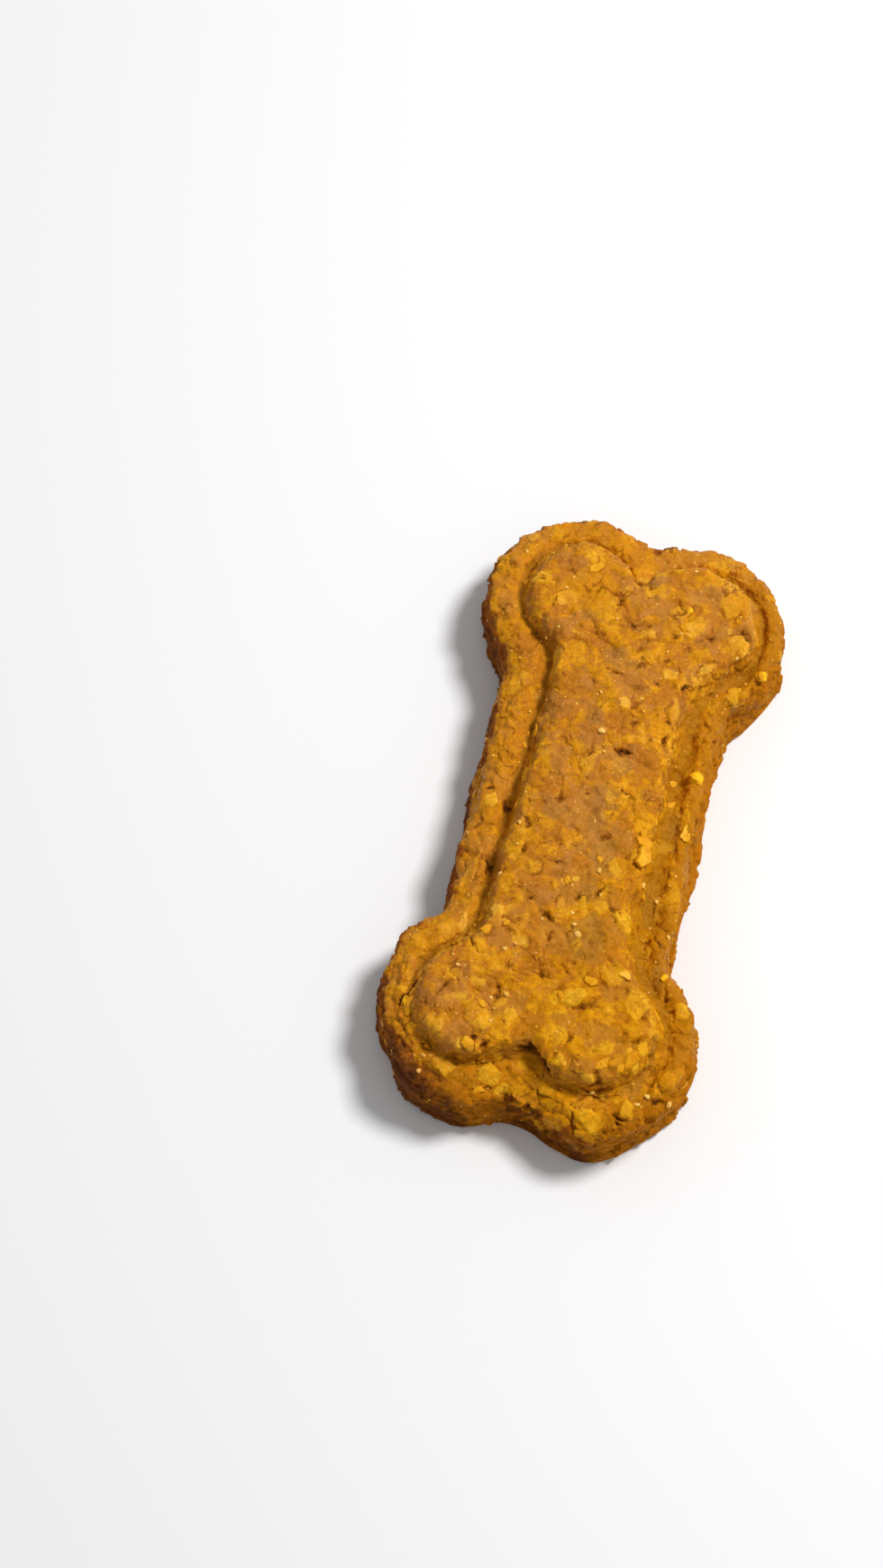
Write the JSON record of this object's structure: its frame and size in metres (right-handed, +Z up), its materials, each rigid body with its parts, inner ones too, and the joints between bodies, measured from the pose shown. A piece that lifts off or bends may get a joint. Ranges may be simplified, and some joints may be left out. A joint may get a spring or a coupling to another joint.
{
  "type": "dog treat",
  "caption": "Bone-shaped oat biscuit for a dog, thick and moulded, with a smaller bone raised on its top and a flat underside.",
  "frame": {"origin": "under the middle of the biscuit's box, on the plane of its flat underside", "axes": "+Y along the bone, +X across it, +Z up out of the raised face"},
  "size_m": [0.0414, 0.0808, 0.0136],
  "materials": {
    "dough": "matte baked oat dough, ochre brown with golden patches",
    "oat_flake": "matte pale golden oat flake"
  },
  "bodies": {
    "root": {"biscuit": "dough"}
  },
  "joints": []
}
